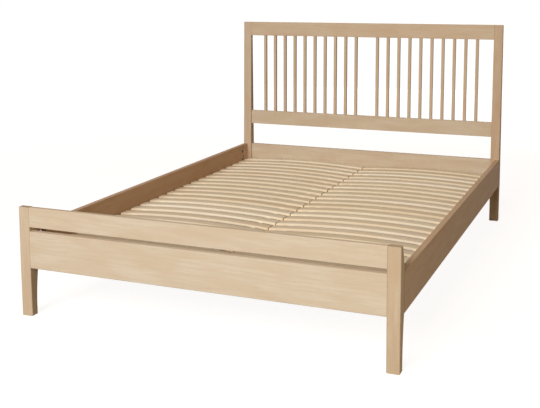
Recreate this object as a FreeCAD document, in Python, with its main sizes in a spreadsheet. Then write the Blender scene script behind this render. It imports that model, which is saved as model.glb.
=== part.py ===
import FreeCAD, Part
import math
import os
import Sketcher

# Spindle bed for a 140 x 200 cm mattress, in millimetres. +X is to the right as
# seen from the foot, +Y points to the head, +Z is up. The origin is on the floor
# under the middle of the bed.

sizes = {
    # whole bed
    "bed_width": 1450,
    "bed_length": 2120,
    "foot_height": 417,
    "head_height": 1027,
    "post_edge": 2,
    "rail_edge": 1.5,
    # posts: deepest where the side rails meet them, slim at the top and the floor
    "post_width": 45,
    "foot_post_depth": 50,
    "head_post_depth": 45,
    "foot_top_depth": 24,
    "foot_floor_front": 3,
    "foot_floor_depth": 34,
    "head_top_front": 12.5,
    "head_top_depth": 20,
    "head_floor_front": 7.5,
    "head_floor_depth": 30,
    "foot_back_radius": 600,
    "leg_radius": 900,
    # rails
    "rail_bottom": 186,
    "rail_height": 140,
    "side_rail_thick": 23,
    "foot_reveal": 1,
    "foot_rail_thick": 26,
    "foot_top_thick": 20,
    "slot_height": 16,
    "head_rail_thick": 20,
    "head_top_height": 76,
    "mid_rail_bottom": 444,
    "mid_rail_height": 76,
    "tenon_length": 25,
    "tenon_thick": 10,
    "tenon_shoulder": 12,
    "glue_gap": 0.1,
    # spindles
    "spindle_width": 15,
    "spindle_depth": 16,
    "spindle_edge": 1,
    "spindle_pitch": 59.5,
    "spindle_middle_gap": 120,
    "spindle_tenon": 11,
    "spindle_tenon_length": 16,
    "spindles_per_side": 10,
    # slats, in two columns over the centre beam
    "slat_width": 53,
    "slat_thick": 10,
    "slat_bow": 14,
    "slat_pitch": 84.6,
    "slat_first": 82,
    "slat_joint": 4,
    "slat_end_gap": 2,
    "slat_seat": 230,
    # what carries the slats
    "ledger_thick": 28,
    "ledger_height": 40,
    "ledger_end_gap": 3,
    "beam_width": 70,
    "beam_height": 40,
    "beam_end_gap": 0.5,
    "hanger_sheet": 2,
    "hanger_reach": 40,
    "hanger_cheek": 30,
    "hanger_ear": 30,
    "leg_top": 48,
    "leg_floor": 36,
    "tape_width": 20,
    "tape_thick": 1,
    "tape_inset": 68,
    # bed bolts, their half-moon washers and nuts
    "bolt_diameter": 8,
    "bolt_bite": 32,
    "bolt_low": 252,
    "bolt_spacing": 46,
    "pocket_setback": 47,
    "pocket_radius": 17,
    "pocket_depth": 20,
    "washer_thick": 7,
    "washer_width": 13,
    "nut_flats": 13,
    "nut_height": 6.5,
    "bolt_spare": 3.5,
}
slat_rows = 24
rows_per_node = 2

doc = FreeCAD.newDocument("SpindleBed")
sheet = doc.addObject("Spreadsheet::Sheet", "Sizes")
for row, (alias, size) in enumerate(sizes.items(), start=1):
    sheet.set(f"A{row}", alias)
    sheet.set(f"B{row}", str(size))
    sheet.setAlias(f"B{row}", alias)
doc.recompute()

# Places worked out from the sheet, as expressions
HALF_WIDTH = "Sizes.bed_width / 2"
FOOT_Y = "-Sizes.bed_length / 2"
HEAD_Y = "(Sizes.bed_length / 2 - Sizes.head_post_depth)"
FOOT_JOINT_Y = "(-Sizes.bed_length / 2 + Sizes.foot_post_depth)"
RAIL_TOP = "(Sizes.rail_bottom + Sizes.rail_height)"
INSIDE = "(Sizes.bed_width / 2 - Sizes.side_rail_thick)"
BETWEEN_POSTS = "(Sizes.bed_width / 2 - Sizes.post_width)"
BOLT_X = "(Sizes.bed_width / 2 - Sizes.side_rail_thick / 2)"
FOOT_RAIL_Y = f"({FOOT_Y} + Sizes.foot_reveal)"
HEAD_RAIL_Y = f"({HEAD_Y} + Sizes.head_top_front)"
SPINDLE_Y = f"({HEAD_RAIL_Y} + Sizes.head_rail_thick / 2)"
MID_TOP = "(Sizes.mid_rail_bottom + Sizes.mid_rail_height)"
HEAD_TOP_BOTTOM = "(Sizes.head_height - Sizes.head_top_height)"
POCKET_CENTRE = "(Sizes.pocket_setback + Sizes.pocket_radius)"
BEAM_FOOT_Y = f"({FOOT_RAIL_Y} + Sizes.foot_rail_thick)"

SIDES = {"left": -1, "right": 1}
parts = []


def number(expression):
    """The value that an expression has in the sheet now."""
    return float(sheet.evalExpression(str(expression)))


def keep(item, name):
    """Names a finished piece and lists it for writing."""
    item.Label = name
    parts.append(item)
    return item


def new_body(name):
    body = doc.addObject("PartDesign::Body", name)
    body.AllowCompound = True
    return keep(body, name)


def origin_feature(body, role):
    return [item for item in body.Origin.OriginFeatures if item.Role == role][0]


def sketch_on(body, plane, name, offset="0"):
    """A sketch on one of the body's own planes, moved along its normal."""
    sketch = body.newObject("Sketcher::SketchObject", name)
    sketch.AttachmentSupport = [(origin_feature(body, plane), "")]
    sketch.MapMode = "FlatFace"
    sketch.setExpression("AttachmentOffset.Base.z", offset)
    return sketch


def bind(sketch, constraint, expression):
    index = sketch.addConstraint(constraint)
    sketch.setExpression(f"Constraints[{index}]", expression)


def pin_point(sketch, line, end, across, up):
    """Holds one end of a line at a place given by two expressions."""
    bind(sketch, Sketcher.Constraint("DistanceX", -1, 1, line, end, number(across)), across)
    bind(sketch, Sketcher.Constraint("DistanceY", -1, 1, line, end, number(up)), up)


def arc_between(start, end, radius, turn):
    """The shallow arc from start to end that bulges to the left of the way (+1) or right (-1)."""
    chord = end - start
    height = math.sqrt(radius**2 - (chord.Length / 2) ** 2)
    left = FreeCAD.Vector(-chord.y, chord.x, 0).normalize()
    middle = (start + end) / 2 + left * turn * (radius - height)
    return Part.Arc(start, middle, end)


def outline(sketch, corners, arcs=None):
    """A closed outline through corners, each a pair of expressions.

    arcs maps a side's number to the radius and the turn of its arc.
    """
    arcs = arcs or {}
    count = len(corners)
    first = sketch.GeometryCount
    spots = [FreeCAD.Vector(number(x), number(y), 0) for x, y in corners]
    flipped = {}
    for side in range(count):
        start, end = spots[side], spots[(side + 1) % count]
        if side in arcs:
            radius, turn = arcs[side]
            sketch.addGeometry(arc_between(start, end, number(radius), turn))
            flipped[side] = sketch.getPoint(first + side, 1).distanceToPoint(start) > 0.01
        else:
            sketch.addGeometry(Part.LineSegment(start, end))
            flipped[side] = False
    for side in range(count):
        following = (side + 1) % count
        end_here = 1 if flipped[side] else 2
        start_there = 2 if flipped[following] else 1
        sketch.addConstraint(
            Sketcher.Constraint("Coincident", first + side, end_here, first + following, start_there)
        )
    for side, (across, up) in enumerate(corners):
        pin_point(sketch, first + side, 2 if flipped[side] else 1, across, up)
    for side, (radius, _) in arcs.items():
        bind(sketch, Sketcher.Constraint("Radius", first + side, number(radius)), radius)


def rectangle(sketch, left, right, low, high):
    outline(sketch, [(left, low), (right, low), (right, high), (left, high)])


def circle(sketch, across, up, diameter):
    spot = FreeCAD.Vector(number(across), number(up), 0)
    index = sketch.addGeometry(Part.Circle(spot, FreeCAD.Vector(0, 0, 1), number(diameter) / 2))
    pin_point(sketch, index, 3, across, up)
    bind(sketch, Sketcher.Constraint("Diameter", index, number(diameter)), diameter)


def pad(body, sketch, name, length, reverse=False):
    feature = body.newObject("PartDesign::Pad", name)
    feature.Profile = sketch
    feature.setExpression("Length", length)
    feature.Reversed = reverse
    return feature


def pocket(body, sketch, name, depth, reverse=False):
    """Cuts against the sketch's normal, or along it when reversed; it has to remove something."""
    doc.recompute()
    before = body.Shape.Volume
    feature = body.newObject("PartDesign::Pocket", name)
    feature.Profile = sketch
    feature.setExpression("Length", depth)
    feature.Reversed = reverse
    doc.recompute()
    if body.Shape.Volume > before - 1:
        raise RuntimeError(f"{feature.Label} cuts nothing")
    return feature


def ease(body, name, size, chosen):
    """Takes the sharpness off the edges of the body that the test picks."""
    doc.recompute()
    base = body.Tip
    edges = [f"Edge{n}" for n, edge in enumerate(base.Shape.Edges, start=1) if chosen(edge)]
    feature = body.newObject("PartDesign::Chamfer", name)
    feature.Base = (base, edges)
    feature.setExpression("Size", size)
    return feature


def runs_along(edge, axis, least):
    """True for an edge that reaches further than least along an axis, 0, 1 or 2."""
    start, end = edge.Vertexes[0].Point, edge.Vertexes[-1].Point
    return abs(end[axis] - start[axis]) > least


# Posts: a curved outline seen from the side, drawn with 0 at the front of the
# post and the head of the bed to the right, and padded across its width


def post(name, side, corners, arcs, place_y):
    body = new_body(name)
    profile = sketch_on(body, "YZ_Plane", f"{name}_profile", "-Sizes.post_width / 2")
    outline(profile, corners, arcs)
    pad(body, profile, f"{name}_pad", "Sizes.post_width")
    ease(body, f"{name}_edges", "Sizes.post_edge", lambda edge: not runs_along(edge, 0, 1))
    body.setExpression("Placement.Base.x", f"{side} * ({HALF_WIDTH} - Sizes.post_width / 2)")
    body.setExpression("Placement.Base.y", place_y)
    return body


def mortise(body, side, name, front, low, high):
    """A blind slot in the post's inner face for a rail's tenon."""
    inner = "Sizes.post_width / 2"
    cut = sketch_on(body, "YZ_Plane", f"{body.Name}_{name}", f"{-side} * {inner}")
    gap = "Sizes.glue_gap"
    rectangle(cut, f"{front} - {gap}", f"{front} + Sizes.tenon_thick + {gap}",
              f"{low} + Sizes.tenon_shoulder - {gap}", f"{high} - Sizes.tenon_shoulder + {gap}")
    pocket(body, cut, f"{body.Name}_{name}_cut", f"Sizes.tenon_length + {gap}", reverse=side > 0)


def bolt_holes(body, side, joint_face, reverse):
    """Two blind holes for the bed bolts, facing the side rail's end."""
    holes = sketch_on(body, "XZ_Plane", f"{body.Name}_bolt_holes", f"-({joint_face})")
    across = f"{side} * ({BOLT_X} - ({HALF_WIDTH} - Sizes.post_width / 2))"
    for level in range(2):
        circle(holes, across, f"Sizes.bolt_low + {level} * Sizes.bolt_spacing", "Sizes.bolt_diameter")
    pocket(body, holes, f"{body.Name}_bolt_cut", "Sizes.bolt_bite", reverse)


foot_corners = [
    ("Sizes.foot_floor_front", "0"),
    ("Sizes.foot_floor_front + Sizes.foot_floor_depth", "0"),
    ("Sizes.foot_post_depth", "Sizes.rail_bottom"),
    ("Sizes.foot_post_depth", RAIL_TOP),
    ("Sizes.foot_top_depth", "Sizes.foot_height"),
    ("0", "Sizes.foot_height"),
    ("0", "Sizes.rail_bottom"),
]
foot_arcs = {
    1: ("Sizes.leg_radius", 1),
    3: ("Sizes.foot_back_radius", -1),
}
for label, side in SIDES.items():
    body = post(f"foot_post_{label}", side, foot_corners, foot_arcs, FOOT_Y)
    middle = "(Sizes.foot_reveal + (Sizes.foot_top_thick - Sizes.tenon_thick) / 2)"
    low = f"({RAIL_TOP} + Sizes.slot_height)"
    mortise(body, side, "top_mortise", middle, low, "Sizes.foot_height")
    middle = "(Sizes.foot_reveal + (Sizes.foot_rail_thick - Sizes.tenon_thick) / 2)"
    mortise(body, side, "low_mortise", middle, "Sizes.rail_bottom", RAIL_TOP)
    bolt_holes(body, side, "Sizes.foot_post_depth", True)

head_corners = [
    ("Sizes.head_floor_front", "0"),
    ("Sizes.head_floor_front + Sizes.head_floor_depth", "0"),
    ("Sizes.head_post_depth", "Sizes.rail_bottom"),
    ("Sizes.head_post_depth", RAIL_TOP),
    ("Sizes.head_top_front + Sizes.head_top_depth", "Sizes.head_height"),
    ("Sizes.head_top_front", "Sizes.head_height"),
    ("0", RAIL_TOP),
    ("0", "Sizes.rail_bottom"),
]
head_arcs = {
    1: ("Sizes.leg_radius", 1),
    7: ("Sizes.leg_radius", 1),
}
head_levels = {
    "top_mortise": (HEAD_TOP_BOTTOM, "Sizes.head_height"),
    "mid_mortise": ("Sizes.mid_rail_bottom", MID_TOP),
    "low_mortise": ("Sizes.rail_bottom", RAIL_TOP),
}
for label, side in SIDES.items():
    body = post(f"head_post_{label}", side, head_corners, head_arcs, HEAD_Y)
    middle = "(Sizes.head_top_front + (Sizes.head_rail_thick - Sizes.tenon_thick) / 2)"
    for name, (low, high) in head_levels.items():
        mortise(body, side, name, middle, low, high)
    bolt_holes(body, side, "0", False)


# Rails between the posts, with a stub tenon at each end


def tenoned_rail(name, front, thick, low, high):
    body = new_body(name)
    section = sketch_on(body, "YZ_Plane", f"{name}_section", f"-{BETWEEN_POSTS}")
    rectangle(section, front, f"{front} + {thick}", low, high)
    pad(body, section, f"{name}_pad", f"2 * {BETWEEN_POSTS}")
    ease(body, f"{name}_edges", "Sizes.rail_edge", lambda edge: runs_along(edge, 0, 100))
    reach = f"({BETWEEN_POSTS} + Sizes.tenon_length)"
    tenon = sketch_on(body, "YZ_Plane", f"{name}_tenon", f"-{reach}")
    start = f"({front} + ({thick} - Sizes.tenon_thick) / 2)"
    rectangle(tenon, start, f"{start} + Sizes.tenon_thick",
              f"{low} + Sizes.tenon_shoulder", f"{high} - Sizes.tenon_shoulder")
    pad(body, tenon, f"{name}_tenons", f"2 * {reach}")
    return body


def spindle_mortises(body, level, reverse):
    """Blind square mortises, patterned outwards from the middle on each side."""
    half = "(Sizes.spindle_tenon / 2 + Sizes.glue_gap)"
    for label, side in SIDES.items():
        square = sketch_on(body, "XY_Plane", f"{body.Name}_mortise_{label}", level)
        across = f"{side} * Sizes.spindle_middle_gap / 2"
        rectangle(square, f"{across} - {half}", f"{across} + {half}",
                  f"{SPINDLE_Y} - {half}", f"{SPINDLE_Y} + {half}")
        cut = pocket(body, square, f"{body.Name}_cut_{label}",
                     "Sizes.spindle_tenon_length + Sizes.glue_gap", reverse)
        row = body.newObject("PartDesign::LinearPattern", f"{body.Name}_row_{label}")
        row.Originals = [cut]
        row.Direction = (origin_feature(body, "X_Axis"), [""])
        row.Reversed = side < 0
        row.setExpression("Length", "(Sizes.spindles_per_side - 1) * Sizes.spindle_pitch")
        row.setExpression("Occurrences", "Sizes.spindles_per_side")
        body.Tip = row


tenoned_rail("foot_top_rail", FOOT_RAIL_Y, "Sizes.foot_top_thick",
             f"({RAIL_TOP} + Sizes.slot_height)", "Sizes.foot_height")
tenoned_rail("foot_lower_rail", FOOT_RAIL_Y, "Sizes.foot_rail_thick", "Sizes.rail_bottom", RAIL_TOP)
tenoned_rail("head_lower_rail", HEAD_RAIL_Y, "Sizes.head_rail_thick", "Sizes.rail_bottom", RAIL_TOP)
mid_rail = tenoned_rail("head_mid_rail", HEAD_RAIL_Y, "Sizes.head_rail_thick",
                        "Sizes.mid_rail_bottom", MID_TOP)
spindle_mortises(mid_rail, MID_TOP, False)
top_rail = tenoned_rail("head_top_rail", HEAD_RAIL_Y, "Sizes.head_rail_thick",
                        HEAD_TOP_BOTTOM, "Sizes.head_height")
spindle_mortises(top_rail, HEAD_TOP_BOTTOM, True)


# Spindles: slim square bars with eased edges and a tenon at each end


def spindle(name, across):
    body = new_body(name)
    bar = sketch_on(body, "XY_Plane", f"{name}_bar", MID_TOP)
    rectangle(bar, "-Sizes.spindle_width / 2", "Sizes.spindle_width / 2",
              "-Sizes.spindle_depth / 2", "Sizes.spindle_depth / 2")
    pad(body, bar, f"{name}_bar_pad", f"{HEAD_TOP_BOTTOM} - {MID_TOP}")
    ease(body, f"{name}_edges", "Sizes.spindle_edge", lambda edge: runs_along(edge, 2, 100))
    half = "Sizes.spindle_tenon / 2"
    for end, level, reverse in (("low", MID_TOP, True), ("high", HEAD_TOP_BOTTOM, False)):
        tenon = sketch_on(body, "XY_Plane", f"{name}_{end}", level)
        rectangle(tenon, f"-{half}", half, f"-{half}", half)
        pad(body, tenon, f"{name}_{end}_tenon", "Sizes.spindle_tenon_length", reverse)
    body.setExpression("Placement.Base.x", across)
    body.setExpression("Placement.Base.y", SPINDLE_Y)


for place in range(2 * sizes["spindles_per_side"]):
    side = -1 if place < sizes["spindles_per_side"] else 1
    steps = abs(place - sizes["spindles_per_side"] + 0.5) - 0.5
    spindle(f"spindle_{place + 1:02d}",
            f"{side} * (Sizes.spindle_middle_gap / 2 + {steps:.0f} * Sizes.spindle_pitch)")


# Side rails: butted between the posts, with half-moon pockets for the bed bolts

for label, side in SIDES.items():
    name = f"side_rail_{label}"
    body = new_body(name)
    plan = sketch_on(body, "XY_Plane", f"{name}_plan")
    edges_x = sorted([f"{side} * {INSIDE}", f"{side} * {HALF_WIDTH}"], key=number)
    rectangle(plan, *edges_x, FOOT_JOINT_Y, HEAD_Y)
    pad(body, plan, f"{name}_pad", "Sizes.rail_height")
    ease(body, f"{name}_edges", "Sizes.rail_edge", lambda edge: runs_along(edge, 1, 100))
    body.setExpression("Placement.Base.z", "Sizes.rail_bottom")
    ends = {"foot": (FOOT_JOINT_Y, 1), "head": (HEAD_Y, -1)}
    moons = sketch_on(body, "YZ_Plane", f"{name}_pockets", f"{side} * {INSIDE}")
    for face, way in ends.values():
        for level in range(2):
            circle(moons, f"{face} + {way} * {POCKET_CENTRE}",
                   f"Sizes.bolt_low - Sizes.rail_bottom + {level} * Sizes.bolt_spacing",
                   "2 * Sizes.pocket_radius")
    pocket(body, moons, f"{name}_pocket_cut", "Sizes.pocket_depth", reverse=side > 0)
    for end, (face, way) in ends.items():
        bores = sketch_on(body, "XZ_Plane", f"{name}_bores_{end}", f"-({face})")
        for level in range(2):
            circle(bores, f"{side} * {BOLT_X}",
                   f"Sizes.bolt_low - Sizes.rail_bottom + {level} * Sizes.bolt_spacing",
                   "Sizes.bolt_diameter + 1")
        pocket(body, bores, f"{name}_bore_cut_{end}", POCKET_CENTRE, reverse=way < 0)


# Ledgers inside the side rails

for label, side in SIDES.items():
    name = f"ledger_{label}"
    body = new_body(name)
    plan = sketch_on(body, "XY_Plane", f"{name}_plan")
    edges_x = sorted([f"{side} * {INSIDE}", f"{side} * ({INSIDE} - Sizes.ledger_thick)"], key=number)
    rectangle(plan, *edges_x, f"{FOOT_JOINT_Y} + Sizes.ledger_end_gap", f"{HEAD_Y} - Sizes.ledger_end_gap")
    pad(body, plan, f"{name}_pad", "Sizes.ledger_height")
    body.setExpression("Placement.Base.z", "Sizes.slat_seat - Sizes.ledger_height")


# Centre beam in two folded steel hangers, on one leg

BEAM_LOW = "(Sizes.slat_seat - Sizes.beam_height)"
HANGER_LOW = f"({BEAM_LOW} - Sizes.hanger_sheet)"
HANGER_TOP = f"({BEAM_LOW} + Sizes.hanger_cheek)"
CHEEK_IN = "(Sizes.beam_width / 2 + Sizes.glue_gap)"
CHEEK_OUT = f"({CHEEK_IN} + Sizes.hanger_sheet)"
EAR_END = f"({CHEEK_OUT} + Sizes.hanger_ear)"
HANGER_FACES = {"foot": (BEAM_FOOT_Y, 1), "head": (HEAD_RAIL_Y, -1)}


beam = new_body("centre_beam")
plan = sketch_on(beam, "XY_Plane", "beam_plan")
beam_inset = "(Sizes.hanger_sheet + Sizes.beam_end_gap)"
rectangle(plan, "-Sizes.beam_width / 2", "Sizes.beam_width / 2",
          f"{BEAM_FOOT_Y} + {beam_inset}", f"{HEAD_RAIL_Y} - {beam_inset}")
pad(beam, plan, "beam_pad", "Sizes.beam_height")
socket = sketch_on(beam, "XY_Plane", "beam_leg_hole")
circle(socket, "0", "0", "Sizes.bolt_diameter")
pocket(beam, socket, "beam_leg_cut", "Sizes.bolt_bite", reverse=True)
beam.setExpression("Placement.Base.z", BEAM_LOW)

for end, (face, way) in HANGER_FACES.items():
    name = f"beam_hanger_{end}"
    body = new_body(name)
    # back plate with two ears, against the rail
    back = sketch_on(body, "XZ_Plane", f"{name}_back", "0" if way > 0 else "Sizes.hanger_sheet")
    rectangle(back, f"-{EAR_END}", EAR_END, HANGER_LOW, HANGER_TOP)
    pad(body, back, f"{name}_back_pad", "Sizes.hanger_sheet", reverse=True)
    # U that the beam's end drops into
    saddle = sketch_on(body, "XZ_Plane", f"{name}_saddle", "0" if way > 0 else "Sizes.hanger_reach")
    outline(saddle, [(f"-{CHEEK_OUT}", HANGER_LOW), (CHEEK_OUT, HANGER_LOW), (CHEEK_OUT, HANGER_TOP),
                     (CHEEK_IN, HANGER_TOP), (CHEEK_IN, BEAM_LOW), (f"-{CHEEK_IN}", BEAM_LOW),
                     (f"-{CHEEK_IN}", HANGER_TOP), (f"-{CHEEK_OUT}", HANGER_TOP)])
    pad(body, saddle, f"{name}_saddle_pad", "Sizes.hanger_reach", reverse=True)
    body.setExpression("Placement.Base.y", face)

# Slats: bowed upwards, a left and a right one in each row


def slat_set(name, first_row):
    body = new_body(name)
    inner, outer = "Sizes.slat_joint / 2", f"({INSIDE} - Sizes.slat_end_gap)"
    half = f"(({outer} - {inner}) / 2)"
    radius = f"({half} * {half} + Sizes.slat_bow * Sizes.slat_bow) / (2 * Sizes.slat_bow)"
    top = "Sizes.slat_seat + Sizes.slat_thick"
    blanks = []
    for row in range(rows_per_node):
        side_view = sketch_on(body, "XZ_Plane", f"{name}_side_{row + 1}", f"-{row} * Sizes.slat_pitch")
        corners = [(inner, "Sizes.slat_seat"), (outer, "Sizes.slat_seat"), (outer, top), (inner, top)]
        outline(side_view, corners, {0: (radius, 1), 2: (radius, -1)})
        blanks.append(pad(body, side_view, f"{name}_blank_{row + 1}", "Sizes.slat_width", reverse=True))
    columns = body.newObject("PartDesign::Mirrored", f"{name}_columns")
    columns.Originals = blanks
    columns.MirrorPlane = (origin_feature(body, "YZ_Plane"), [""])
    body.Tip = columns
    body.setExpression("Placement.Base.y",
                       f"{FOOT_Y} + Sizes.slat_first + {first_row} * Sizes.slat_pitch")
    return body


for first in range(0, slat_rows, rows_per_node):
    slat_set(f"slat_rows_{first + 1:02d}_{first + rows_per_node:02d}", first)


# Tapes stapled under the slats keep their spacing; each follows the slope of the bow

tapes = new_body("slat_tapes")
slat_middle = f"((Sizes.slat_joint / 2 + {INSIDE} - Sizes.slat_end_gap) / 2)"
slat_half = f"({slat_middle} - Sizes.slat_joint / 2)"
bow_radius = f"(({slat_half} * {slat_half} + Sizes.slat_bow * Sizes.slat_bow) / (2 * Sizes.slat_bow))"


def underside(offset):
    """Height of the slats' underside at a distance from the middle of a slat."""
    return f"Sizes.slat_seat + Sizes.slat_bow - {bow_radius} + sqrt({bow_radius}^2 - ({offset})^2)"


strips = []
for place, way in {"inner": -1, "outer": 1}.items():
    near = f"({slat_half} - Sizes.tape_inset - Sizes.tape_width / 2)"
    far = f"({slat_half} - Sizes.tape_inset + Sizes.tape_width / 2)"
    section = sketch_on(tapes, "XZ_Plane", f"tape_{place}")
    stops = [(f"{slat_middle} + {way} * {reach}", underside(reach)) for reach in (far, near)]
    outline(section, stops + [(x, f"{z} - Sizes.tape_thick") for x, z in reversed(stops)])
    strips.append(pad(tapes, section, f"tape_{place}_pad",
                      f"{slat_rows - 1} * Sizes.slat_pitch + Sizes.slat_width", reverse=True))
both_sides = tapes.newObject("PartDesign::Mirrored", "tapes_both_sides")
both_sides.Originals = strips
both_sides.MirrorPlane = (origin_feature(tapes, "YZ_Plane"), [""])
tapes.Tip = both_sides
tapes.setExpression("Placement.Base.y", f"{FOOT_Y} + Sizes.slat_first")


# Fasteners: plain solids, each kind kept together as one group

X_AXIS, Y_AXIS = FreeCAD.Vector(1, 0, 0), FreeCAD.Vector(0, 1, 0)
TURNS = {  # turns +Z to an axis, forwards or backwards
    ("x", 1): (Y_AXIS, 90),
    ("y", 1): (X_AXIS, -90),
    ("y", -1): (X_AXIS, 90),  # also stands a wedge on its narrow end
    ("z", 1): (X_AXIS, 0),
}


def primitive(kind, name, place, pointing=("z", 1), **measures):
    """A Part primitive with its measures and place bound to expressions."""
    item = doc.addObject(f"Part::{kind}", name)
    item.Placement = FreeCAD.Placement(FreeCAD.Vector(), FreeCAD.Rotation(*TURNS[pointing]))
    for measure, expression in measures.items():
        item.setExpression(measure, expression)
    for axis, expression in zip("xyz", place):
        item.setExpression(f"Placement.Base.{axis}", expression)
    return item


def boolean(kind, name, base, tool):
    item = doc.addObject(f"Part::{kind}", name)
    item.Base, item.Tool = base, tool
    return item


def drilled(name, blank, place, pointing, length):
    """A blank with a bolt hole right through it."""
    bore = primitive("Cylinder", f"{name}_bore", place, pointing,
                     Radius="Sizes.bolt_diameter / 2", Height=length)
    return boolean("Cut", name, blank, bore)


def group(name, items):
    bundle = doc.addObject("Part::Compound", name)
    bundle.Links = items
    return keep(bundle, name)


def half_moon(name, place, seat, way):
    """The slice of a disc that fills the near side of its pocket, with a flat for the nut.

    It is slotted from below, so that it drops over a bolt that is already in its post.
    """
    across, centre, up = place
    left = f"{across} - Sizes.washer_width / 2"
    disc = primitive("Cylinder", f"{name}_disc", (left, centre, up), ("x", 1),
                     Radius="Sizes.pocket_radius", Height="Sizes.washer_width")
    low = seat if way > 0 else f"{seat} - Sizes.washer_thick"
    slab = primitive("Box", f"{name}_slab", (left, low, f"{up} - Sizes.pocket_radius"),
                     Length="Sizes.washer_width", Width="Sizes.washer_thick",
                     Height="2 * Sizes.pocket_radius")
    moon = boolean("Common", f"{name}_moon", disc, slab)
    corner = (f"{across} - Sizes.bolt_diameter / 2", low, f"{up} - Sizes.pocket_radius")
    slot = primitive("Box", f"{name}_slot", corner, Length="Sizes.bolt_diameter",
                     Width="Sizes.washer_thick", Height="Sizes.pocket_radius")
    slotted = boolean("Cut", f"{name}_slotted", moon, slot)
    return drilled(name, slotted, (across, seat, up), ("y", way), "Sizes.washer_thick")


NUT_STACK = "Sizes.pocket_setback + Sizes.washer_thick + Sizes.nut_height + Sizes.bolt_spare"
bolts, washers, nuts = [], [], []
for end, (face, way) in {"foot": (FOOT_JOINT_Y, 1), "head": (HEAD_Y, -1)}.items():
    for label, side in SIDES.items():
        for level in range(2):
            tag = f"{end}_{label}_{level + 1}"
            across, up = f"{side} * {BOLT_X}", f"Sizes.bolt_low + {level} * Sizes.bolt_spacing"
            root = (across, f"{face} - {way} * Sizes.bolt_bite", up)
            bolts.append(primitive("Cylinder", f"bolt_{tag}", root, ("y", way),
                                   Radius="Sizes.bolt_diameter / 2",
                                   Height=f"Sizes.bolt_bite + {NUT_STACK}"))
            seat = f"{face} + {way} * Sizes.pocket_setback"
            centre = (across, f"{face} + {way} * {POCKET_CENTRE}", up)
            washers.append(half_moon(f"washer_{tag}", centre, seat, way))
            nut_root = (across, f"{seat} + {way} * Sizes.washer_thick", up)
            blank = primitive("Prism", f"nut_blank_{tag}", nut_root, ("y", way),
                              Circumradius="Sizes.nut_flats / sqrt(3)", Height="Sizes.nut_height")
            nuts.append(drilled(f"nut_{tag}", blank, nut_root, ("y", way), "Sizes.nut_height"))
group("bed_bolts", bolts)
group("half_moon_washers", washers)
group("bed_nuts", nuts)

# The leg is square and tapers to the floor; a stud in its top holds it to the beam
stud_foot = ("0", "0", f"{BEAM_LOW} - Sizes.bolt_bite")
leg_blank = primitive("Wedge", "leg_blank", ("0", "0", "0"), ("y", -1),
                      Ymin="0", Ymax=BEAM_LOW,
                      Xmin="-Sizes.leg_floor / 2", Xmax="Sizes.leg_floor / 2",
                      Zmin="-Sizes.leg_floor / 2", Zmax="Sizes.leg_floor / 2",
                      X2min="-Sizes.leg_top / 2", X2max="Sizes.leg_top / 2",
                      Z2min="-Sizes.leg_top / 2", Z2max="Sizes.leg_top / 2")
keep(drilled("leg", leg_blank, stud_foot, ("z", 1), "Sizes.bolt_bite"), "centre_leg")
stud = primitive("Cylinder", "leg_stud", stud_foot, Radius="Sizes.bolt_diameter / 2",
                 Height="2 * Sizes.bolt_bite")
keep(stud, "leg_bolt")

doc.recompute()
for item in doc.Objects:
    if "Invalid" in item.State or "Error" in item.State:
        raise RuntimeError(f"{item.Label} did not build: {item.State}")
for part in parts:
    if part.Shape.isNull() or not part.Shape.isValid():
        raise RuntimeError(f"{part.Label} has no valid shape")

os.makedirs("parts", exist_ok=True)
for part in parts:
    part.Shape.exportStep(f"parts/{part.Label}.step")
print(f"{len(parts)} parts written")
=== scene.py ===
import math

import bpy
from mathutils import Matrix, Vector


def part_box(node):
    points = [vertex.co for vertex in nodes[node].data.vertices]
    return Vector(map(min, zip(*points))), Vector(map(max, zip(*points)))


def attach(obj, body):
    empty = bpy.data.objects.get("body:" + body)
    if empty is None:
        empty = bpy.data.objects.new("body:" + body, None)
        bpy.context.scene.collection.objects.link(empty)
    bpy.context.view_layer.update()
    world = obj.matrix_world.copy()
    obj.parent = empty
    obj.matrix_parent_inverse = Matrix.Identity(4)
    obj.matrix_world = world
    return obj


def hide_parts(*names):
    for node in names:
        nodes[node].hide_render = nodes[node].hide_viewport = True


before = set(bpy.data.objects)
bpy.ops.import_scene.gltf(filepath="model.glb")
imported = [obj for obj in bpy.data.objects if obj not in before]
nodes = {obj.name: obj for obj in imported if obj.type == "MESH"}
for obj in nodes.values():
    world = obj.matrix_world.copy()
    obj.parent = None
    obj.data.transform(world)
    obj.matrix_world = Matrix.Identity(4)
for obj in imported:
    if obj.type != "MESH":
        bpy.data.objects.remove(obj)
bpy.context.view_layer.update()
print("frame loaded:", len(nodes), "nodes")


def hexColor(code):  # sRGB hex to the linear colour that a shader takes
    parts = [int(code[i:i + 2], 16) / 255 for i in (1, 3, 5)]
    linear = [p / 12.92 if p <= 0.04045 else ((p + 0.055) / 1.055) ** 2.4 for p in parts]
    return (*linear, 1.0)


def addNode(tree, kind, inputs=None, **settings):  # a value is set, a socket is linked
    node = tree.nodes.new(kind)
    for name, value in settings.items():
        setattr(node, name, value)
    for socket, value in (inputs or {}).items():
        if isinstance(value, bpy.types.NodeSocket):
            tree.links.new(value, node.inputs[socket])
        else:
            node.inputs[socket].default_value = value
    return node


def newMaterial(name):
    material = bpy.data.materials.new(name)
    material.use_nodes = True
    tree = material.node_tree
    tree.nodes.clear()
    return material, tree


def closeMaterial(tree, shader):
    addNode(tree, "ShaderNodeOutputMaterial", {"Surface": shader.outputs["BSDF"]})


# ---- wood

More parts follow.
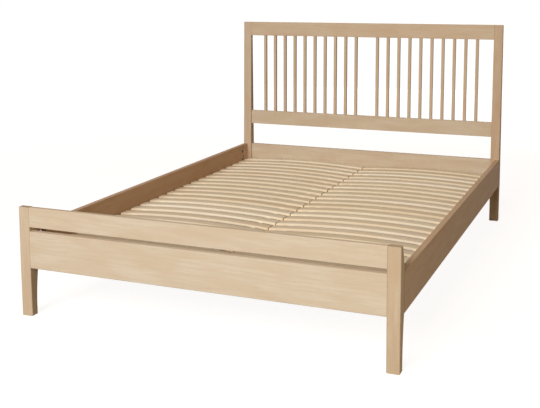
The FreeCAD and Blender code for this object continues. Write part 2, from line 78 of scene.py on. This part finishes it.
# Solid oak, planed, sanded and oiled: pale straw with a pink cast, fine straight grain,
# open pores as short dark dashes and faint arched growth rings
oak = {
    "early": "#DFD1BB",
    "late": "#D1BC9E",
    "pink": "#D2BA9C",
    "pore": "#A78A63",
    "ringWidth": 0.0045,
    "ringWander": 16,
    "ringShare": 0.24,
    "toneSize": 0.040,
    "toneShare": 0.45,
    "streakWidth": 0.0013,  # a real one is finer, and would not show
    "streakShare": 0.40,
    "poreWidth": 0.0007,
    "poreShare": 0.35,
    "fleckWidth": 0.0024,
    "fleckShare": 0.45,
    "endShade": 0.80,
    "roughness": 0.55,
    "gloss": 0.05,  # specular level: matt, with hardly a reflection
}

# Planed pine of the hidden members: yellower, wide soft rings and no pores
pine = dict(oak, early="#E8D3A6", late="#CFA86E", pink="#E6C79A", ringWidth=0.006, ringShare=0.6,
            poreShare=0.0, roughness=0.62, gloss=0.10)

# Laminated birch of the slats: very pale and even, each slat in a tint of its own
birch = dict(oak, early="#FCF4E1", late="#F6E0B9", pink="#F8E3C6", pore="#CDB48C", ringWidth=0.009,
             ringShare=0.25, toneShare=0.35, streakShare=0.22, poreShare=0.12, roughness=0.55,
             gloss=0.05)


# How many times longer along the grain than across it each mark is
drawnOut = {"rings": 14, "fibre": 24, "streaks": 16, "tone": 5, "pores": 14, "flecks": 5}


def woodMaterial(name, wood, grain, heart, tintAndShade="#FFFFFF", attribute=None, vary=None):
    # grain is the axis that the fibres run along, heart a point of the trunk's middle line
    material, tree = newMaterial(name)
    along = "XYZ".index(grain)

    def stretched(mark):  # coordinates about the heart, drawn out along the grain
        size = [1.0, 1.0, 1.0]
        size[along] = 1 / drawnOut[mark]
        place = [-h * s for h, s in zip(heart, size)]
        return addNode(tree, "ShaderNodeMapping", {"Vector": source, "Location": place, "Scale": size})

    if attribute:
        source = addNode(tree, "ShaderNodeAttribute", attribute_name=attribute).outputs["Vector"]
    else:
        source = addNode(tree, "ShaderNodeTexCoord").outputs["Object"]

    def noise(mark, size, detail=2.0, roughness=0.5):
        return addNode(tree, "ShaderNodeTexNoise", {
            "Vector": stretched(mark).outputs["Vector"], "Scale": 1 / size,
            "Detail": detail, "Roughness": roughness}).outputs["Fac"]

    def ranged(value, low, high, toLow=0.0, toHigh=1.0):
        return addNode(tree, "ShaderNodeMapRange", {
            "Value": value, "From Min": low, "From Max": high,
            "To Min": toLow, "To Max": toHigh}, interpolation_type="SMOOTHSTEP").outputs["Result"]

    def times(first, second):
        return addNode(tree, "ShaderNodeMath", {0: first, 1: second}, operation="MULTIPLY").outputs[0]

    def colours(share, first, second, blend="MIX"):
        mix = addNode(tree, "ShaderNodeMix", data_type="RGBA", blend_type=blend)
        for socket, value in ((0, share), (6, first), (7, second)):
            if isinstance(value, bpy.types.NodeSocket):
                tree.links.new(value, mix.inputs[socket])
            else:
                mix.inputs[socket].default_value = value
        return mix.outputs[2]

    # growth rings about the heart, wandering so that they make arches on a flat face
    rings = addNode(tree, "ShaderNodeTexWave", {
        "Vector": stretched("rings").outputs["Vector"], "Scale": math.pi / (10 * wood["ringWidth"]),
        "Distortion": wood["ringWander"], "Detail": 2.0, "Detail Scale": 0.22, "Detail Roughness": 0.45,
    }, wave_type="RINGS", rings_direction=grain, wave_profile="SIN").outputs["Fac"]
    fibre = noise("fibre", wood["streakWidth"], 3.0, 0.6)
    broad = noise("streaks", 4 * wood["streakWidth"])
    tone = noise("tone", wood["toneSize"], 2.0, 0.45)

    colour = colours(times(ranged(rings, 0.35, 1.0), wood["ringShare"]), hexColor(wood["early"]),
                     hexColor(wood["late"]))
    colour = colours(times(ranged(tone, 0.35, 0.65), wood["toneShare"]), colour, hexColor(wood["pink"]))
    colour = colours(times(ranged(broad, 0.42, 0.72), wood["streakShare"]), colour, hexColor(wood["late"]))
    colour = colours(times(ranged(fibre, 0.45, 0.75), wood["streakShare"]), colour, hexColor(wood["late"]))

    # pores: short dashes
    dashes = ranged(noise("pores", wood["poreWidth"], 1.0), 0.66, 0.74)
    colour = colours(times(dashes, wood["poreShare"]), colour, hexColor(wood["pore"]))

    # flecks: the few darker ticks and pin knots that a pale board has
    flecks = ranged(noise("flecks", wood["fleckWidth"], 1.0), 0.74, 0.80)
    colour = colours(times(flecks, wood["fleckShare"]), colour, hexColor(wood["pore"]))

    # sawn ends are darker, where the fibres are cut across
    facing = addNode(tree, "ShaderNodeSeparateXYZ", {
        "Vector": addNode(tree, "ShaderNodeNewGeometry").outputs["Normal"]}).outputs[along]
    cut = ranged(addNode(tree, "ShaderNodeMath", {0: facing}, operation="ABSOLUTE").outputs[0], 0.85, 0.98)
    shade = wood["endShade"]
    colour = colours(cut, colour, (shade, shade * 0.97, shade * 0.93, 1.0), "MULTIPLY")
    if vary:
        colour = vary(tree, source, colour, colours)
    # the tint: partly the board's own tone, partly painted shade for the light that falls off towards the
    # head and the sides
    if tintAndShade != "#FFFFFF":
        colour = colours(1.0, colour, hexColor(tintAndShade), "MULTIPLY")

    rough = ranged(fibre, 0.3, 0.7, wood["roughness"] - 0.05, wood["roughness"] + 0.05)
    bump = addNode(tree, "ShaderNodeBump", {"Height": fibre, "Strength": 0.35, "Distance": 0.0002})
    shader = addNode(tree, "ShaderNodeBsdfPrincipled", {
        "Base Color": colour, "Roughness": rough, "IOR": 1.5,
        "Specular IOR Level": wood["gloss"], "Normal": bump.outputs["Normal"]})
    closeMaterial(tree, shader)
    return material


def dress(node, material):
    mesh = nodes[node].data
    mesh.materials.clear()
    mesh.materials.append(material)


# Each board is its own piece of timber: the heart of its trunk lies this far from the middle of the
# board, in metres, and its tint makes it darker or warmer: partly its own tone, partly painted shade
# for the light that falls off towards the head and the sides
boards = {
    "foot_top_rail": {"grain": "X", "heart": (0, 0.13, -0.01)},
    "foot_lower_rail": {"grain": "X", "heart": (0, 0.16, -0.03)},
    "head_lower_rail": {"grain": "X", "heart": (0, 0.14, 0.04), "tintAndShade": "#F1F0F0"},
    "head_mid_rail": {"grain": "X", "heart": (0, 0.12, 0.02), "tintAndShade": "#F1EFEE"},
    "head_top_rail": {"grain": "X", "heart": (0, 0.15, -0.02), "tintAndShade": "#F0E9E3"},
    "side_rail_left": {"grain": "Y", "heart": (-0.15, 0, 0.02), "tintAndShade": "#F1DED6"},
    "side_rail_right": {"grain": "Y", "heart": (-0.14, 0, -0.03), "tintAndShade": "#F4E4D7"},
    "foot_post_left": {"grain": "Z", "heart": (0.05, 0.11, 0), "tintAndShade": "#F6F0EA"},
    "foot_post_right": {"grain": "Z", "heart": (-0.04, 0.12, 0), "tintAndShade": "#F3EBE2"},
    "head_post_left": {"grain": "Z", "heart": (-0.05, 0.10, 0), "tintAndShade": "#EEE7E2"},
    "head_post_right": {"grain": "Z", "heart": (0.03, 0.13, 0), "tintAndShade": "#E8DBD2"},
    "ledger_left": {"grain": "Y", "heart": (-0.06, 0, 0.03), "wood": pine},
    "ledger_right": {"grain": "Y", "heart": (0.07, 0, -0.02), "wood": pine},
    "centre_beam": {"grain": "Y", "heart": (0.02, 0, -0.09), "wood": pine},
    "centre_leg": {"grain": "Z", "heart": (0.05, -0.06, 0), "wood": pine},
}
for name, board in boards.items():
    low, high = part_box(name)
    middle = (low + high) / 2
    heart = [m + h for m, h in zip(middle, board["heart"])]
    dress(name, woodMaterial("wood_" + name, board.get("wood", oak), board["grain"], heart,
                             board.get("tintAndShade", "#FFFFFF")))

# the spindles take a tint that is partly painted shade, like the head posts' tint
spindleWood = woodMaterial("wood_spindles", dict(oak, ringShare=0.2), "Z", (0, 0.9, 0), "#EEE7E2")
for name in nodes:
    if name.startswith("spindle_"):
        dress(name, spindleWood)
print("boards dressed:", len(boards))

# ---- metal and tape


def zincMaterial():
    # Bright zinc plating on turned or pressed steel: bluish grey, softly mirrored, with
    # clouds about 4.5 mm across
    material, tree = newMaterial("zinc_plated_steel")
    place = addNode(tree, "ShaderNodeTexCoord").outputs["Object"]
    cloud = addNode(tree, "ShaderNodeTexNoise", {"Vector": place, "Scale": 220.0, "Detail": 3.0})
    rough = addNode(tree, "ShaderNodeMapRange", {
        "Value": cloud.outputs["Fac"], "To Min": 0.28, "To Max": 0.42}).outputs["Result"]
    tone = addNode(tree, "ShaderNodeMix", data_type="RGBA")
    tree.links.new(cloud.outputs["Fac"], tone.inputs[0])
    tone.inputs[6].default_value = hexColor("#E0E2E4")
    tone.inputs[7].default_value = hexColor("#D2D1C8")
    shader = addNode(tree, "ShaderNodeBsdfPrincipled", {
        "Base Color": tone.outputs[2], "Roughness": rough, "Metallic": 1.0})
    closeMaterial(tree, shader)
    return material


def tapeMaterial():
    # Flat woven polyester: matt, off-white, ribs across it 1.2 mm apart
    material, tree = newMaterial("woven_polyester_tape")
    place = addNode(tree, "ShaderNodeTexCoord").outputs["Object"]
    ribs = addNode(tree, "ShaderNodeTexWave", {
        "Vector": place, "Scale": math.pi / (10 * 0.0012), "Distortion": 0.4, "Detail": 1.0},
        wave_type="BANDS", bands_direction="Y")
    tone = addNode(tree, "ShaderNodeMix", data_type="RGBA")
    tree.links.new(ribs.outputs["Fac"], tone.inputs[0])
    tone.inputs[6].default_value = hexColor("#D5CFC0")
    tone.inputs[7].default_value = hexColor("#EBE7DB")
    bump = addNode(tree, "ShaderNodeBump", {"Height": ribs.outputs["Fac"], "Strength": 0.5,
                                            "Distance": 0.0003})
    shader = addNode(tree, "ShaderNodeBsdfPrincipled", {
        "Base Color": tone.outputs[2], "Roughness": 0.85, "Normal": bump.outputs["Normal"]})
    closeMaterial(tree, shader)
    return material


zinc = zincMaterial()
for name in ("bed_bolts", "bed_nuts", "half_moon_washers", "leg_bolt", "beam_hanger_foot",
             "beam_hanger_head"):
    dress(name, zinc)
dress("slat_tapes", tapeMaterial())
print("metal and tape dressed")

# ---- slats

slats = {
    "width": 0.053,
    "thick": 0.010,
    "bow": 0.014,
    "jointGap": 0.004,
    "pitch": 0.0846,
    "rows": 24,
    "rowsPerNode": 2,
    "topRound": 0.0042,
    "topSteps": 4,
    "underRound": 0.0012,
    "underSteps": 2,
    "bendSteps": 20,
    "smoothAngle": 40,
}


def slatTint(tree, source, colour, colours):  # every slat was cut from another sheet of veneer
    split = addNode(tree, "ShaderNodeSeparateXYZ", {"Vector": source})
    row = addNode(tree, "ShaderNodeMath", {0: split.outputs["Y"], 1: slats["pitch"]}, operation="SNAP")
    side = addNode(tree, "ShaderNodeMath", {0: split.outputs["X"]}, operation="SIGN")
    cell = addNode(tree, "ShaderNodeCombineXYZ", {"X": side.outputs[0], "Y": row.outputs[0]})
    chance = addNode(tree, "ShaderNodeTexWhiteNoise", {"Vector": cell.outputs[0]}, noise_dimensions="3D")
    parts = addNode(tree, "ShaderNodeSeparateColor", {"Color": chance.outputs["Color"]})
    colour = colours(parts.outputs[0], colour, hexColor("#F6F0EA"), "MULTIPLY")
    olive = addNode(tree, "ShaderNodeMath", {0: parts.outputs[1], 1: 0.5}, operation="MULTIPLY")
    return colours(olive.outputs[0], colour, hexColor("#F0EAD6"), "MULTIPLY")


def deselectAll():
    if bpy.context.mode != "OBJECT":
        bpy.ops.object.mode_set(mode="OBJECT")
    bpy.ops.object.select_all(action="DESELECT")


def selectOnly(piece):
    deselectAll()
    piece.select_set(True)
    bpy.context.view_layer.objects.active = piece


def settle(piece):  # the place and the turn go into the mesh
    selectOnly(piece)
    bpy.ops.object.transform_apply(location=True, rotation=True, scale=True)
    return piece


def smoothPiece(piece, degrees):
    selectOnly(piece)
    bpy.ops.object.shade_smooth_by_angle(angle=math.radians(degrees))


def selectPoints(piece, wanted):  # in edit mode, the points whose place is wanted, and no others
    bpy.ops.mesh.select_all(action="DESELECT")
    bpy.ops.object.mode_set(mode="OBJECT")
    for point in piece.data.vertices:
        point.select = wanted(point.co)
    bpy.ops.object.mode_set(mode="EDIT")
    bpy.ops.mesh.select_mode(type="VERT")


def oneSlat(side, frontEdge, seat, outer):
    # the rounded section is drawn at the outer or inner end of the span, and spun to the
    # other end about the middle of the bow's circle
    inner = slats["jointGap"] / 2
    halfSpan = (outer - inner) / 2
    middle = side * (inner + outer) / 2
    radius = (halfSpan ** 2 + slats["bow"] ** 2) / (2 * slats["bow"])
    centre = Vector((middle, 0, seat + slats["bow"] - radius))
    halfTurn = math.asin(halfSpan / (radius + slats["thick"]))
    deselectAll()
    bpy.ops.mesh.primitive_plane_add(size=1)
    piece = bpy.context.object
    bpy.ops.object.mode_set(mode="EDIT")
    bpy.ops.transform.resize(value=(slats["width"], slats["thick"], 1))
    for upper, corner in ((True, "top"), (False, "under")):
        selectPoints(piece, lambda place: (place.y > 0) == upper)
        bpy.ops.mesh.bevel(offset=slats[corner + "Round"], segments=slats[corner + "Steps"],
                           affect="VERTICES")
    bpy.ops.object.mode_set(mode="OBJECT")
    # stands the section up across the slat at the end where the spin starts
    stand = Matrix.Rotation(math.pi / 2, 4, "Z") @ Matrix.Rotation(math.pi / 2, 4, "X")
    lift = radius + slats["thick"] / 2
    across = frontEdge + slats["width"] / 2
    piece.matrix_world = (Matrix.Translation(centre) @ Matrix.Rotation(halfTurn, 4, "Y")
                          @ Matrix.Translation((0, across, lift)) @ stand)
    settle(piece)
    bpy.ops.object.mode_set(mode="EDIT")
    bpy.ops.mesh.select_all(action="SELECT")
    bpy.ops.mesh.spin(steps=slats["bendSteps"], angle=2 * halfTurn, center=centre, axis=(0, 1, 0))
    bpy.ops.mesh.select_all(action="SELECT")
    bpy.ops.mesh.remove_doubles(threshold=0.00001)
    bpy.ops.mesh.normals_make_consistent(inside=False)
    bpy.ops.object.mode_set(mode="OBJECT")
    # where each point lay before the slat was bent, which is what the grain follows
    straight = piece.data.attributes.new("straight", "FLOAT_VECTOR", "POINT")
    for point, place in zip(piece.data.vertices, straight.data):
        arm = point.co - centre
        turn = math.atan2(arm.x, arm.z)
        place.vector = (middle + turn * radius, point.co.y, seat + math.hypot(arm.x, arm.z) - radius)
    return piece


def joinPieces(parts, name):
    deselectAll()
    for part in parts:
        part.select_set(True)
    bpy.context.view_layer.objects.active = parts[0]
    bpy.ops.object.join()
    joined = bpy.context.object
    joined.name = joined.data.name = name
    return joined


slatWood = woodMaterial("wood_slats", birch, "X", (0, 0, 0.1), attribute="straight", vary=slatTint)
for name in sorted(nodes):
    if not name.startswith("slat_rows_"):
        continue
    low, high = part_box(name)
    parts = []
    for row in range(slats["rowsPerNode"]):
        for side in (-1, 1):
            parts.append(oneSlat(side, low.y + row * slats["pitch"], low.z, high.x))
    piece = joinPieces(parts, "bowed_" + name)
    piece.data.materials.append(slatWood)
    smoothPiece(piece, slats["smoothAngle"])
    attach(piece, "root")
    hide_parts(name)
print("slats bent")

# ---- screws and staples

screw = {
    "radius": 0.0040,
    "headDepth": 0.0014,
    "proud": 0.0004,
    "sides": 12,
    "neckShare": 0.70,
    "socketShare": 0.45,
    "socketDepth": 0.0009,
}
staple = {
    "size": (0.0012, 0.0100, 0.0006),
    "round": 0.0002,
    "sunk": 0.0001,
}
fixings = {
    "ledgerFirst": -0.93,
    "ledgerStep": 0.31,
    "ledgerCount": 7,
    "hangerX": 0.0521,
    "hangerZ": (0.196, 0.212),
    "hangerPlate": 0.002,
    "tapeX": (-0.632, -0.070, 0.070, 0.632),
    "tapeThick": 0.001,
    "smoothAngle": 35,
}


def screwHead():  # countersunk, with a twelve-sided socket
    deselectAll()
    bpy.ops.mesh.primitive_cylinder_add(vertices=screw["sides"], radius=screw["radius"],
                                        depth=screw["headDepth"])
    piece = bpy.context.object
    bpy.ops.object.mode_set(mode="EDIT")
    selectPoints(piece, lambda place: place.z < 0)
    bpy.ops.transform.resize(value=(screw["neckShare"], screw["neckShare"], 1))
    selectPoints(piece, lambda place: place.z > 0)
    bpy.ops.mesh.inset(thickness=screw["radius"] * screw["socketShare"])
    bpy.ops.mesh.extrude_region_move(TRANSFORM_OT_translate={"value": (0, 0, -screw["socketDepth"])})
    bpy.ops.object.mode_set(mode="OBJECT")
    return piece


def stapleCrown():
    deselectAll()
    bpy.ops.mesh.primitive_cube_add(size=1)
    piece = bpy.context.object
    bpy.ops.object.mode_set(mode="EDIT")
    bpy.ops.transform.resize(value=staple["size"])
    bpy.ops.mesh.select_all(action="SELECT")
    bpy.ops.mesh.bevel(offset=staple["round"], segments=1)
    bpy.ops.object.mode_set(mode="OBJECT")
    return piece


def placeFixings(pattern, name, spots):  # a copy at each spot, its top facing the way given
    copies = []
    for place, outward in spots:
        twin = pattern.copy()
        twin.data = pattern.data.copy()
        bpy.context.scene.collection.objects.link(twin)
        turn = Vector(outward).to_track_quat("Z", "Y").to_matrix().to_4x4()
        twin.matrix_world = Matrix.Translation(place) @ turn
        copies.append(settle(twin))
    piece = joinPieces(copies, name)
    piece.data.materials.append(zinc)
    smoothPiece(piece, fixings["smoothAngle"])
    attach(piece, "root")


lift = screw["proud"] - screw["headDepth"] / 2
ledgerSpots = []
for name, way in (("ledger_left", 1), ("ledger_right", -1)):
    low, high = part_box(name)
    face = (high.x if way > 0 else low.x) + way * lift
    for i in range(fixings["ledgerCount"]):
        place = (face, fixings["ledgerFirst"] + i * fixings["ledgerStep"], (low.z + high.z) / 2)
        ledgerSpots.append((place, (way, 0, 0)))
hangerSpots = []
for name, way in (("beam_hanger_foot", 1), ("beam_hanger_head", -1)):
    low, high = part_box(name)
    back = low.y if way > 0 else high.y
    for x in (-fixings["hangerX"], fixings["hangerX"]):
        for z in fixings["hangerZ"]:
            hangerSpots.append(((x, back + way * (fixings["hangerPlate"] + lift), z), (0, way, 0)))
pattern = screwHead()
placeFixings(pattern, "ledger_screws", ledgerSpots)
placeFixings(pattern, "hanger_screws", hangerSpots)
bpy.data.objects.remove(pattern)

low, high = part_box("slat_tapes")
under = (low.z + high.z - fixings["tapeThick"] - staple["size"][2]) / 2 + staple["sunk"]
tapeSpots = []
for row in range(slats["rows"]):
    across = low.y + row * slats["pitch"] + slats["width"] / 2
    for x in fixings["tapeX"]:
        tapeSpots.append(((x, across, under), (0, 0, 1)))
pattern = stapleCrown()
placeFixings(pattern, "tape_staples", tapeSpots)
bpy.data.objects.remove(pattern)
print("screws and staples placed:", len(ledgerSpots) + len(hangerSpots), len(tapeSpots))

# ---- floor, light and camera

studio = {
    "ambient": 0.17,
    "ambientColour": "#FFD2A6",
    "keyPower": 950,
    "keyColour": "#FFFFFF",
    "keySize": 5.0,
    "keyPlace": (-0.9, -9.8, 5.1),
    "fillPower": 19,
    "fillColour": "#FFECB0",
    "fillSize": 2.0,
    "fillPlace": (3.8, -2.6, 1.4),
    "rearPower": 55,
    "rearColour": "#FFEBD2",
    "rearSize": 3.0,
    "rearPlace": (-1.0, 7.0, 0.9),
}


def addLamp(name, place, power, colour, size, target=(0, 0, 0.4)):
    data = bpy.data.lights.new(name, "AREA")
    data.energy, data.color, data.size = power, hexColor(colour)[:3], size
    lamp = bpy.data.objects.new(name, data)
    bpy.context.scene.collection.objects.link(lamp)
    lamp.location = place
    lamp.rotation_euler = (Vector(target) - Vector(place)).to_track_quat("-Z", "Y").to_euler()


addLamp("key_softbox", studio["keyPlace"], studio["keyPower"], studio["keyColour"], studio["keySize"])
addLamp("warm_fill", studio["fillPlace"], studio["fillPower"], studio["fillColour"], studio["fillSize"])
addLamp("low_rear_fill", studio["rearPlace"], studio["rearPower"], studio["rearColour"], studio["rearSize"])

world = bpy.data.worlds.new("studio")
bpy.context.scene.world = world
world.use_nodes = True
tree = world.node_tree
tree.nodes.clear()


def backdropShare(tree):  # the backdrop is white to the camera and in reflections
    path = addNode(tree, "ShaderNodeLightPath")
    seen = path.outputs["Is Camera Ray"]
    for ray in ("Is Glossy Ray", "Is Transmission Ray"):
        either = addNode(tree, "ShaderNodeMath", {0: seen, 1: path.outputs[ray]}, operation="MAXIMUM")
        seen = either.outputs[0]
    return seen


soft = addNode(tree, "ShaderNodeBackground", {"Color": hexColor(studio["ambientColour"]),
                                              "Strength": studio["ambient"]})
white = addNode(tree, "ShaderNodeBackground", {"Color": (1, 1, 1, 1), "Strength": 1.0})
both = addNode(tree, "ShaderNodeMixShader", {
    0: backdropShare(tree), 1: soft.outputs[0], 2: white.outputs[0]})
addNode(tree, "ShaderNodeOutputWorld", {"Surface": both.outputs[0]})

# The floor glows white all round the bed, but much less in the middle under it, within these
# edges: a painted shadow under the bed, so that the gaps between the slats look dark
floorLook = {
    "colour": (0.30, 0.27, 0.24, 1),
    "paintedShadowGlow": 0.06,
    "nearGlow": 0.90,
    "nearRadius": 2.5,
    "farRadius": 6.0,
    "paintedShadowEdges": (("X", -1.00, -0.60), ("X", 0.61, 0.55), ("Y", -0.53, -0.41), ("Y", 1.00, 0.80)),
}
bpy.ops.mesh.primitive_plane_add(size=60, location=(0, 0, 0))
floor = bpy.context.object
floor.name = "studio_floor"
material, tree = newMaterial("white_studio_floor")
plain = addNode(tree, "ShaderNodeBsdfDiffuse", {"Color": floorLook["colour"]})
point = addNode(tree, "ShaderNodeNewGeometry").outputs["Position"]
spread = addNode(tree, "ShaderNodeVectorMath", {0: point}, operation="LENGTH")
sweep = addNode(tree, "ShaderNodeMapRange", {
    "Value": spread.outputs["Value"], "From Min": floorLook["nearRadius"],
    "From Max": floorLook["farRadius"], "To Min": floorLook["nearGlow"], "To Max": 1.0})
split = addNode(tree, "ShaderNodeSeparateXYZ", {"Vector": point})
# painted shadow: the share is 1 inside the edges under the bed and falls to 0 outside them
dark = 1.0
for axis, outer, inner in floorLook["paintedShadowEdges"]:
    edge = addNode(tree, "ShaderNodeMapRange", {
        "Value": split.outputs[axis], "From Min": outer, "From Max": inner},
        interpolation_type="SMOOTHSTEP")
    dark = addNode(tree, "ShaderNodeMath", {0: dark, 1: edge.outputs[0]}, operation="MULTIPLY").outputs[0]
shade = addNode(tree, "ShaderNodeMapRange", {"Value": dark, "To Min": 1.0, "To Max": floorLook["paintedShadowGlow"]})
strength = addNode(tree, "ShaderNodeMath", {0: sweep.outputs[0], 1: shade.outputs[0]}, operation="MULTIPLY")
glow = addNode(tree, "ShaderNodeEmission", {"Color": (1, 1, 1, 1), "Strength": strength.outputs[0]})
pale = addNode(tree, "ShaderNodeAddShader", {0: plain.outputs[0], 1: glow.outputs[0]})
both = addNode(tree, "ShaderNodeMixShader", {
    0: backdropShare(tree), 1: plain.outputs[0], 2: pale.outputs[0]})
addNode(tree, "ShaderNodeOutputMaterial", {"Surface": both.outputs[0]})
floor.data.materials.append(material)

view = {
    "place": (1.3975, -3.7948, 1.2239),
    "turn": (83.234, 0.152, 22.403),
    "lens": 61.23,
    "shiftX": 0.0079,
    "shiftY": -0.20,
}
camera = bpy.data.objects.new("camera", bpy.data.cameras.new("camera"))
bpy.context.scene.collection.objects.link(camera)
bpy.context.scene.camera = camera
camera.location = view["place"]
camera.rotation_euler = [math.radians(a) for a in view["turn"]]
camera.data.sensor_width = 36
camera.data.lens = view["lens"]
camera.data.shift_x, camera.data.shift_y = view["shiftX"], view["shiftY"]
camera.data.clip_start, camera.data.clip_end = 0.1, 100
bpy.context.scene.view_settings.view_transform = "Standard"
print("studio ready")
